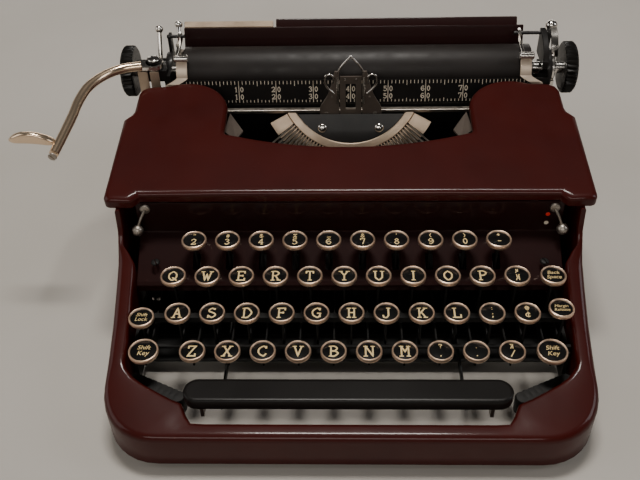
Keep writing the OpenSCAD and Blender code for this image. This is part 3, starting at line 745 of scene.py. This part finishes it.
def deck_outline(inset):
    """Outline of the deck cover, moved inwards by an inset."""
    side_x, reach, front = DECK_HALF_W - inset, OPENING_HALF_W + inset, OPENING_R + inset
    front_y, corner_y = DECK_FRONT_Y + inset, DECK_CORNER_Y + inset
    half = [(0, front_y), (60, front_y), (124 + inset - 0.5, front_y), (124 + inset, front_y - 0.5),
            (128 + inset, corner_y), *arc(side_x - 4, corner_y + 4, 4, -90, 0, 6), (side_x, 15), (side_x, 48),
            (side_x - 4, 53), (side_x - 5.4, 57), (side_x - 5.6, 76 - inset), (side_x - 7.4, 80.4 - inset),
            (side_x - 11, 82.6 - inset), *arc(*LOBE, LOBE_R - inset, 64, 180, 26),
            (reach, 50), (reach, 40), *arc(reach - 4, 38 - inset, 4, 0, -65, 6)]
    half += [(x, OPENING_Y + OPENING_R - sqrt(front ** 2 - x ** 2)) for x in range(64, 0, -8)]
    return half + [(0, OPENING_Y - inset)] + [(-x, y) for x, y in half[:0:-1]]


def deck_point(x, y, height):
    """A point at a height above the tilted deck plane."""
    run = y - DECK_CORNER_Y
    return (x, DECK_CORNER_Y + run * cos(DECK_TILT) - height * sin(DECK_TILT),
            DECK_FRONT_Z + run * sin(DECK_TILT) + height * cos(DECK_TILT))


def skirt_depth(x, y):
    """How far the deck's edge hangs down, less round the type opening."""
    if y < 0 or abs(x) >= 104:
        return SKIRT
    ramp = max(0, min(1, (abs(x) - 100) / 4)) if y > 50 else 0
    return SKIRT - 2.6 * (1 - ramp)


def deck_ring(inset, height=None):
    """The deck's outline at a height, or at the skirt's lower edge."""
    ring = []
    for (x, y), edge in zip(deck_outline(inset), deck_outline(0)):
        ring.append(deck_point(x, y, -skirt_depth(*edge) if height is None else height))
    return ring


levels = [deck_ring(0)]
for k in range(7):
    a = radians(15 * k)
    levels.append(deck_ring(EDGE_R * (1 - cos(a)), -EDGE_R * (1 - sin(a))))
levels.append(deck_ring(EDGE_R + 1.4, 0))
count = len(levels[0])
top = loft(levels[::-1])
top[1].append(list(range(count))[::-1])
# The deck's underside is in the darker lacquer, as painted shade.
under = loft([deck_ring(0), deck_ring(1.5), deck_ring(1.6, 0.8 - EDGE_R), deck_ring(EDGE_R, -1.7)])
under[1].append([3 * count + i for i in range(count)])
deck = Parts()
deck.add(top, lacquer)
deck.add(under, lacquer_painted_shade)
deck.make("deck", "deck", "lacquer", ["deck_cover"], sharp=50)


# --- type basket ---

def in_segment(u, v, h):
    """From the plane of the type segment, with the print point as origin, to the world."""
    c, s = cos(SEGMENT_TILT), sin(SEGMENT_TILT)
    return PRINT_POINT.x + u, PRINT_POINT.y + v * c - h * s, PRINT_POINT.z + v * s + h * c


def sector(r0, r1, a0, a1, low, high, n, edge=0.15):
    """A slice of a ring in the segment plane, between two angles from the front."""
    outline = arc(0, 0, r1, a0 - 90, a1 - 90, n) + arc(0, 0, r0, a1 - 90, a0 - 90, n)
    return prism(outline, low, high, edge, in_segment)


def swept(r0, r1, fan, low, high, edge, n=56):
    """A ring in the segment plane, as a rectangle swept through an angle."""
    rows = []
    for k in range(n + 1):
        t = radians(fan * (k / n - 0.5) - 90)
        section = ((r0, low), (r1, low), (r1, high - edge), (r1 - edge, high), (r0 + edge, high),
                   (r0, high - edge))
        rows.append([in_segment(r * cos(t), r * sin(t), h) for r, h in section])
    return loft(rows, caps=True)


basket = Parts()
moon_half = degrees(acos(MOON_TOP / MOON_R))
moon = arc(0, 0, MOON_R, -90 - moon_half, -90 + moon_half, 48)
basket.add(cut_behind(prism(moon, -4.6, -3, 0.3, in_segment), 81.8), enamel)
basket.add(cut_behind(swept(43.5, 49, 128, -9, -2.4, 0.5)), nickel)
slot_half = degrees(0.75 / 55)
bar_turns = [BAR_FAN * (i / (BAR_COUNT - 1) - 0.5) for i in range(BAR_COUNT)]
starts = [-62] + [turn + slot_half for turn in bar_turns]
ends = [turn - slot_half for turn in bar_turns] + [62]
for a0, a1 in zip(starts, ends):
    basket.add(cut_behind(sector(*COMB_R, a0, a1, -6, 1.2, 2 if a1 - a0 < 4 else 8)), nickel)
basket.add(cut_behind(swept(49, COMB_R[1], 124, -10, -5.9, 0.3)), satin)
for side in (-1, 1):
    u, v = side * 19.5, -33
    dome = [(3, -2.98), (3, -2.5), (2.5, -1.95), (1.6, -1.6), (0.8, -1.5), (0, -1.48)]
    head, quads = lathe(dome, 28)
    basket.add(([in_segment(u + p[0], v + p[1], p[2]) for p in head], quads), chrome)
    groove = prism(rectangle(-2.6, -0.3, 2.6, 0.3), -1.75, -1.44, 0.05)
    turn = Matrix.Rotation(0.5 * side + 0.3, 3, "Z")
    turned = [turn @ Vector(p) for p in groove[0]]
    basket.add(([in_segment(u + p.x, v + p.y, p.z) for p in turned], groove[1]), satin)
    basket.add(box((2 + side * 47 - 3, 67, 44), (2 + side * 47 + 3, 77, 70)), satin)
basket.add(box((-48, 67, 44), (52, 73, 50)), satin)
for low, high in (((-5.3, 82.4, 76), (9.3, 83.6, 87.5)), ((-5.3, 82.4, 87.5), (-1.4, 83.6, 107.5)),
                  ((5.4, 82.4, 87.5), (9.3, 83.6, 107.5)), ((-5.3, 82.4, 107.5), (9.3, 83.6, 113))):
    basket.add(box(low, high, 0.05), plate_grey)
basket.add(box((-5.3, 81, 76), (9.3, 82.5, 79)), enamel)
for x in (-1.8, 5.8):
    basket.add(lathe([(0.9, 82.4), (0.85, 82.15), (0.4, 82), (0, 81.95)], 16, "Y", (x, 0, 111)), chrome)
basket.make("segment_and_guide", "basket", "steel_works", ["type_segment"])


def type_bar(parts, i):
    """One type bar lying at rest in front of its slot."""
    phi = radians(bar_turns[i])
    lean, rise = cos(BAR_REST), sin(BAR_REST)

    def place(y, z, x):
        v, h = y * lean - z * rise - BAR_PIVOT_R, y * rise + z * lean
        return in_segment(x * cos(phi) - v * sin(phi), x * sin(phi) + v * cos(phi), h)

    outline = [(-2.2, 0), (-1.4, -1.5), (8, -1.4), (41, -0.9), (41, 0.9), (8, 1.4), (-1.4, 1.5)]
    parts.add(prism(outline, -0.5, 0.5, 0.12, place), steel)
    slug = [(41, -1.9), (46.4, -1.9), (47, -1.4), (47, 1.4), (46.4, 1.9), (41, 1.9)]
    parts.add(prism(slug, -1.3, 1.3, 0.25, place), steel)


bars = Parts()
for i in range(BAR_COUNT):
    if i != H_BAR:
        type_bar(bars, i)
bars.make("type_bar_set", "basket", "steel_works", ["type_bars"])
h_bar = Parts()
type_bar(h_bar, H_BAR)
h_bar.make("h_type_bar", "h_bar", "steel_works", ["type_bar_h"])

mid = PRINT_POINT.x


def on_carrier(u, v, h):
    """u from the print point along X, v up, h towards the front."""
    return mid + u, 83 - h, v


vibrator = Parts()
for side in (-1, 1):
    plate = [(7.8, 80), (21, 80), (21, 88), (20, 91), (17.5, 95), (15.4, 99), (14, 103), (12.6, 108),
             (11.6, 113), (10.5, 117), (7.8, 117)]
    strip = rectangle(7.9, 92, 9.5, 112.5)
    shapes = (plate, -0.6, 0.6, 0.25, plate_grey), (strip, 0.55, 0.95, 0.1, chrome)
    for outline, low, high, edge, metal in shapes:
        vibrator.add(prism([(side * u, v) for u, v in outline][::side], low, high, edge, on_carrier), metal)
    hook = [(mid + side * reach, 82.6, level) for reach, level in
            ((11, 100), (15, 104), (17.5, 109), (16.6, 113.6), (13.4, 114.6), (11.2, 111.8), (11.6, 107.8))]
    vibrator.add(tube(hook, [WIRE_R] * len(hook), 12), chrome)
    peak = [(mid + side * 9, 83, 115.6), (mid + side * 5.5, 83, 121.5), (mid, 83, 128)]
    vibrator.add(tube(peak, [WIRE_R] * len(peak), 10), chrome)
    for reach, level, r in ((16.6, 84.2, 1.5), (12.6, 97.5, 0.9)):
        rivet = [(r, -0.75), (r * 0.9, -1), (r * 0.5, -1.15), (0, -1.2)]
        vibrator.add(lathe(rivet, 20, "Y", (mid + side * reach, 83, level)), steel)
vibrator.make("ribbon_carrier", "vibrator", "black_works", ["ribbon_vibrator"])


# --- carriage ---

platen = Parts()
left, right = PLATEN_X
sleeve = [(4.1, left), (15.2, left), (15.8, left + 0.3), (PLATEN_R, left + 0.9), (PLATEN_R, right - 0.9),
          (15.8, right - 0.3), (15.2, right), (4.1, right)]
platen.add(lathe(sleeve, 96, "X", PLATEN_AXIS), platen_rubber)
platen.add(lathe([(4.1, left - 2), (9, left - 2), (9, left)], 32, "X", PLATEN_AXIS), steel)
teeth = []
for i in range(60):
    reach, turn = 12.8 if i % 2 else 14.5, radians(6 * i)
    teeth.append((PLATEN_Y + reach * cos(turn), PLATEN_Z + reach * sin(turn)))
platen.add(along_x(teeth, -116.5, -113.5, 0.2), steel)
platen.make("platen_sleeve", "platen", "platen_rubber", ["platen_roller"])


def ribbed_knob(side):
    """Knob with a ribbed edge and a dished face."""
    ribs = 34
    ribbed = [(16.5, 0.8, 0.3), (16.8, 1.4, 0.65), (16.8, 6.9, 0.65), (16.4, 7.7, 0.3)]
    plain = [(15.7, 8.4), (15, 8.7), (14.4, 8.6), (13.9, 7.6), (9, 7.1), (6.2, 7.2), (5.8, 7.6), (3.4, 7.8),
             (3.1, 7.3), (CLOSED, 7.1)]
    rows = []
    for r, h, depth in [(4.1, 0, 0), (13, 0, 0), (15.8, 0.2, 0), *ribbed, *((r, h, 0) for r, h in plain)]:
        ring = []
        for k, t in enumerate(whole_turn(ribs * 4)):
            reach = r + depth * cos(pi / 2 * k)
            ring.append((side * (KNOB_X + h), PLATEN_Y + reach * cos(t), PLATEN_Z + reach * sin(t)))
        rows.append(ring)
    return loft(rows)


knobs = Parts()
for side in (-1, 1):
    knobs.add(ribbed_knob(side), knob_plastic)
knobs.add(lathe([(0, -154), (4, -153.8), (4, 153.8), (0, 154)], 24, "X", PLATEN_AXIS), chrome)
knobs.make("knobs_and_shaft", "platen", "knob_plastic", ["platen_knobs"], sharp=30)

scale = Parts()
plate = [(88.6, 89), (89.8, 88.6), (93, 104.6), (91.8, 105)]
scale.add(along_x(plate, *SCALE_X, 0.15), enamel)
face_dir = Vector((0, 3.2, 16)).normalized()
face_out = Vector((0, -16, 3.2)).normalized()


def on_scale(u, v, lift):
    """u along X, v up the scale's sloping face from its bottom edge."""
    p = SCALE_FOOT + face_dir * v + face_out * (0.06 + lift)
    return p.x + u, p.y, p.z


def tick(x, v0, v1, half):
    """A painted line across the scale, from v0 to v1."""
    return [on_scale(u, v, 0) for u, v in rectangle(x - half, v0, x + half, v1)], [[0, 1, 2, 3]]


for unit in range(-4, 90):
    x = 2 + (unit - 40) * 2.54
    if -118 < x < 133:
        long = 3.6 if unit % 5 == 0 else 2.4
        scale.add(tick(x, SCALE_TOP - long, SCALE_TOP, 0.2), pale)
        if unit % 10:
            scale.add(tick(x, 0.5, 0.5 + long * 0.7, 0.2), pale)
        else:
            scale.add(tick(x, 0.5, SCALE_TOP, 0.24), pale)
            digits = ((str(unit)[0], x - 1.9), (str(unit)[1:] or "0", x + 2))
            for level in (4.6, 9.9) if 0 <= unit <= 80 else ():
                for digit, digit_x in digits:
                    scale.add(legend(digit, (digit_x, level), 3.4, on_scale, 1.15), pale)
scale.make("line_scale", "carriage", "scale_enamel", ["scale_plate"])

table = Parts()
inner = PLATEN_R + 1.5
sheet = arc(PLATEN_Y, PLATEN_Z, inner, -40, 10, 20) + [(133.6, 122), (134.5, 121.9), (135, 121.3)]
sheet += arc(PLATEN_Y, PLATEN_Z, inner + 1.4, 10, -40, 20)
# The paper rest and its flap are in the darker lacquer, as painted shade.
table.add(along_x(sheet, *PAPER_X), lacquer_painted_shade)
flap = [(133.2, 119.8), (137.2, 126), (137.9, 126.3), (138.8, 126), (139, 125.4), (134.6, 119)]
table.add(along_x(flap, -50, 118), lacquer_painted_shade)
strip = [(135.4, 122), (137.2, 124.8), (138, 125), (139, 124.2), (136.2, 120.6)]
table.add(along_x(strip, PAPER_X[0], -52), nickel)
table.make("paper_rest", "carriage", "lacquer", ["paper_table"])

ROUTE = [(-138, 90, 118), (-151, 86.5, 118), (-161, 78, 118), (-168.2, 66, 117.5), (-171.6, 52, 116),
         (-172.6, 36, 114.5), (-174.6, 18, 112.5), (-176.6, 2, 110.7)]
lever = Parts()
lever.add(box((-142, 88, 115), (-127, 98, 118.8), 0.8), chrome)
lever_hub = [(2.1, 115), (5.6, 115), (6, 115.4), (6, 118.4), (5.6, 118.8), (2.1, 118.8)]
lever.add(lathe(lever_hub, 32, centre=(*LEVER_PIVOT, 0)), chrome)
lever.add(tube(ROUTE, [3.2, 3.2, 3.2, 3.2, 3.2, 3.1, 3, 2.9], 20, 8), bright_nickel)
leaf_rows = []
for k in range(25):
    u = -15 + 28.5 * k / 24
    from_middle = abs(u + 0.75) / 14.3
    half = max(4.6 * (1 - from_middle ** 2) ** 0.6, 0.5) if from_middle < 1 else 0.5
    rise = 3.6 * cos(pi * (u + 1) / 30) - 0.05 * u
    thick = 3 * min(1, (half / 3) ** 0.6)
    leaf_rows.append([(u, thick * sin(t) - 1.2 * cos(t) ** 2, rise + half * cos(t)) for t in whole_turn(20)])
leaf_turn = Matrix.Rotation(radians(-3), 4, "Z") @ Matrix.Rotation(radians(15), 4, "X")
leaf_move = Matrix.Translation((-177.6, 12, 112.2)) @ leaf_turn @ Matrix.Translation((-13.4, 0, 1))
lever.add(loft(leaf_rows, caps=True), bright_nickel, leaf_move)
lever.add(screw_head((-176.8, -0.6, 110.5), 2.6, "-Y", 40, 0.6), steel)
lever.make("return_arm", "lever", "bright_metal", ["return_lever"])


def finger(name, node, body, x0, x1):
    """Paper finger: a small roller on a curved strap, and the link back to its hinge."""
    parts = Parts()
    roller = [(0, x0), (2.1, x0), (2.6, x0 + 0.5), (2.6, x1 - 0.5), (2.1, x1), (0, x1)]
    parts.add(lathe(roller, 28, "X", (0, 97, 119.2)), chrome)
    strap = PLATEN_R + 1.2
    a0, a1 = 133, 168
    outline = arc(PLATEN_Y, PLATEN_Z, strap, a0, a1, 14) + arc(PLATEN_Y, PLATEN_Z, strap + 1.1, a1, a0, 14)
    parts.add(along_x(outline, x0 + 1, x1 - 1, 0.25), brushed_nickel)
    mid_x, half, out = (x0 + x1) / 2, (x1 - x0) / 2 - 1, -8 if x0 < 0 else 8
    section = [(-half, 0.5), (-half, -0.4), (0.4 - half, -0.6), (half - 0.4, -0.6), (half, -0.4), (half, 0.5)]
    rows = []
    for step in range(9):
        f = step / 8
        shift = out * f * f * (3 - 2 * f)
        y, z = 91.9 - 2.9 * min(1, f * 1.6), 107.6 - 5.1 * f
        rows.append([(mid_x + shift + du, y + dv, z) for du, dv in section])
    parts.add(loft(rows, caps=True), brushed_nickel)
    link = [(97, 119.9), (118, 119.9), (121, 120.4), (121, 126.6), (120, 127.3), (115, 127.3), (113.6, 126),
            (113.6, 122.2), (97, 122.1)]
    parts.add(plate_at(x0 + 2, link, 2), chrome)
    parts.make(name, body, "bright_metal", [node])


finger("finger_strap_left", "paper_finger_left", "finger_left", -117, -107.5)
finger("finger_strap_right", "paper_finger_right", "finger_right", 114.5, 124)


def end_lever(name, node, body, x, foot, tip):
    """Small lever at the carriage's end, with foot and tip as (y, z)."""
    parts = Parts()
    hub = [(0, -1), (2.6, -1), (3, -0.7), (3, 0.7), (2.6, 1), (0, 1)]
    parts.add(lathe(hub, 24, "X", (x, *foot)), steel)
    middle = ((foot[0] + tip[0]) / 2, (foot[1] + tip[1]) / 2 + 0.6)
    parts.add(tube([(x, *foot), (x, *middle), (x, *tip)], [1.5] * 3), chrome)
    parts.add(ball((x, *tip), 2.8), chrome)
    parts.make(name, body, "bright_metal", [node])


end_lever("paper_release_arm", "paper_release", "paper_release_lever", -118.3, (124, 114), (134, 125))
end_lever("line_space_arm", "line_space_selector", "line_selector", -129.5, (112, 110), (122, 128))


def panel_lever(name, node, body, side):
    """Ball lever at one end of the front panel."""
    parts = Parts()
    x = side * 121.5
    parts.add(lathe([(3, -20.2), (3, -21.8), (2.4, -22.2), (0, -22.3)], 24, "Y", (x, 0, 86.5)), steel)
    arm = [(x, -22, 86.5), (x + side * 3, -24, 81), (x + side * 5, -25.5, 76)]
    parts.add(tube(arm, [0.9] * 3, 12), steel)
    parts.add(ball((x + side * 5.5, -26, 74), 3.55, 14, 28), steel)
    parts.make(name, body, "bright_metal", [node])


panel_lever("selector_arm", "ribbon_selector", "selector", 1)
panel_lever("reverse_arm", "ribbon_reverse", "reverse", -1)

release = Parts()
collar = [(4.1, 138.4), (8.4, 138.4), (9, 139), (9, 140.4), (8.4, 141), (4.1, 141)]
release.add(lathe(collar, 40, "X", PLATEN_AXIS), chrome)
spine = [(110, 110), (112, 116), (116.5, 120.5), (121.5, 122.6), (126, 124)]
edge_line = spine + [(y - 0.5, z + 1.7) for y, z in spine[::-1]]
release.add(along_x(edge_line, 138.4, 143.2), chrome)
paddle = Matrix.Translation((139.9, 127, 125.2)) @ Matrix.Diagonal((1, 0.9, 0.85, 1))
release.add(ball((0, 0, 0), 4.1, 14, 28), chrome, paddle)
release.add(box((138.4, 100, 93.4), (141, 107, 98), 0.5), chrome)
release.make("release_paddle", "release_lever", "bright_metal", ["carriage_release"])

bell = Parts()
dome = [(10.4, -1.6), *arc(CLOSED, 0, 11.4, -8, 90, 14)]
bell.add(lathe(dome, 48, centre=(92, 133, 40)), chrome)
bell.add(lathe([(1.5, 31), (1.5, 39)], 16, centre=(92, 133, 0)), steel)
bell.add(screw_head((92, 133, 51.3), 1.9, "Z", 20, 0.8), steel)
bell.add(box((89, 119, 29), (95, 135, 31)), steel)
bell.make("bell_dome", "base", "bright_metal", ["bell"])


# --- small parts that only show ---

marks = Parts()
for z, paint in ((80.5, red), (73.8, pale)):
    marks.add(lathe([(1.35, -20.02), (1.25, -20.12), (0, -20.16)], 24, "Y", (118.5, 0, z)), paint)
marks.make("ribbon_marks", "base", "lacquer")

wedges = Parts()
for side in (-1, 1):
    corners = [(78, 66, 96), (69, 55, 89.5), (73, 45, 89.5), (80, 46, 95.5)]
    thin = [[(side * x, y, z + rise) for x, y, z in corners] for rise in (-1.4, 0)]
    wedges.add(loft(thin, caps=True), plate_grey)
    wedges.add(box((side * 74 - 1.5, 51, 60), (side * 74 + 1.5, 55, 89.5)), satin)
wedges.make("opening_brackets", "base", "steel_works")

pads = Parts()
for side in (-1, 1):
    for k in range(9):
        f = k / 8
        centre = (side * (97 + 26 * f), -113 + 12.5 * f, 0)
        post = [(0, 15), (4.4, 15), (4.6, 25), (3.8, 26.2), (0, 26.4)]
        pads.add(lathe(post, 20, "Z", centre), satin)
pads.make("corner_pads", "base", "foot_rubber")

screws = Parts()
for side in (-1, 1):
    screws.add(screw_head((side * 116, -40, 60.8), 2.6, "Z", 25, 1), satin)
screws.make("panel_screws", "base", "black_works")

end_screws = Parts()
for x, axis in ((-124, "-X"), (138, "X")):
    for y, z in ((96, 91), (126, 91)):
        end_screws.add(screw_head((x, y, z), 2.4, axis, 40, 0.9), chrome)
end_screws.add(screw_head((*LEVER_PIVOT, 121), 4.2, "Z", 35, 1.2), chrome)
for x0, x1 in ((-141, -134.5), (-133, -127)):
    end_screws.add(box((x0, 88.8, 98), (x1, 89.9, 114), 0.3), nickel)
shield = [(98, 108.5), (97, 114), (100, 119), (106, 123), (113, 126), (121, 126.5), (121, 108.5)]
end_screws.add(along_x(shield, 131, 134.9, 0.4), enamel)
end_screws.make("carriage_screws", "carriage", "bright_metal")


# --- parts that keep their CAD shape ---

# The front panel under the deck's overhang is in the darker lacquer, as painted shade.
for node, material, bevel in (
        ("front_panel", lacquer_painted_shade, 0.6), ("inner_frame", satin, 0.3), ("rubber_feet", foot_rubber, 0.8),
        ("carriage_rail", steel, 0.3), ("mainspring_drum", enamel, 0.8),
        ("ribbon_spool_left", enamel, 0.3), ("ribbon_spool_right", enamel, 0.3),
        ("carriage_frame", enamel, 0.5), ("feed_rollers", platen_rubber, 0.3)):
    dress(node, material, bevel)


# --- floor, light and camera ---

floor_mat = surface("table_top", (0.5, 0.47, 0.43), (0.46, 0.43, 0.39), 0.75, scale=5, grain=300)
floor_mesh = bpy.data.meshes.new("table")
floor_mesh.from_pydata([(-6, -6, 0), (6, -6, 0), (6, 6, 0), (-6, 6, 0)], [], [[0, 1, 2, 3]])
floor_mesh.materials.append(floor_mat)
table_top = new_object("table_top", floor_mesh)


def soft_light(name, place, target, size, watts, tint):
    """A rectangular lamp at a place, aimed at a target, in metres."""
    lamp = bpy.data.lights.new(name, "AREA")
    lamp.shape = "RECTANGLE"
    lamp.size, lamp.size_y = size
    lamp.energy = watts
    lamp.color = tint
    holder = new_object(name, lamp)
    holder.location = place
    holder.rotation_euler = (Vector(target) - Vector(place)).to_track_quat("-Z", "Y").to_euler()
    return holder


lights = [
    soft_light("main_softbox", (0, 0.24, 1.5), (0, 0, 0.05), (0.46, 0.2), 16.5, (1, 0.96, 0.9)),
    soft_light("camera_fill", (-0.15, -1.25, 0.9), (0, 0, 0.05), (1.2, 0.35), 5.5, (1, 0.95, 0.88)),
    soft_light("left_window", (-1.45, -0.15, 0.75), (0, 0, 0.05), (1.1, 1), 4.5, (1, 0.97, 0.93)),
    soft_light("right_fill", (1.25, -0.1, 0.85), (0, 0, 0.05), (0.4, 0.7), 3, (0.96, 0.97, 1)),
    soft_light("back_strip", (0, 1.25, 0.25), (0, 0, 0.08), (1.6, 0.18), 3, (1, 0.95, 0.88)),
]

world = bpy.data.worlds.new("room")
bpy.context.scene.world = world
world.use_nodes = True
sky = world.node_tree
direction = sky.nodes.new("ShaderNodeTexCoord")
height = sky.nodes.new("ShaderNodeSeparateXYZ")
sky.links.new(direction.outputs["Generated"], height.inputs["Vector"])
brightness = sky.nodes.new("ShaderNodeValToRGB")
stops = brightness.color_ramp.elements
stops[0].position, stops[0].color = 0.1, (0.2, 0.185, 0.17, 1)
stops[1].position, stops[1].color = 0.98, (0.06, 0.057, 0.052, 1)
for position, tone in ((0.4, 0.05), (0.62, 0.014)):
    stop = stops.new(position)
    stop.color = (tone, tone * 0.95, tone * 0.9, 1)
sky.links.new(height.outputs["Z"], brightness.inputs["Fac"])
sky.links.new(brightness.outputs["Color"], sky.nodes["Background"].inputs["Color"])
sky.nodes["Background"].inputs["Strength"].default_value = 1

camera_data = bpy.data.cameras.new("main_camera")
camera_data.sensor_width = 36
camera_data.lens = 47.81
camera = new_object("main_camera", camera_data)
bpy.context.scene.camera = camera
elevation, yaw, roll = radians(42.266), radians(-2.31), radians(-1.738)
forward = Vector((sin(yaw) * cos(elevation), cos(yaw) * cos(elevation), -sin(elevation)))
right = Vector((cos(yaw), -sin(yaw), 0))
upward = right.cross(forward)
rolled_right = right * cos(roll) + upward * sin(roll)
rolled_up = upward * cos(roll) - right * sin(roll)
stand = Matrix.Translation(Vector((-1.887, -406.554, 411.859)) * MM)
camera.matrix_world = stand @ Matrix((rolled_right, rolled_up, -forward)).transposed().to_4x4()
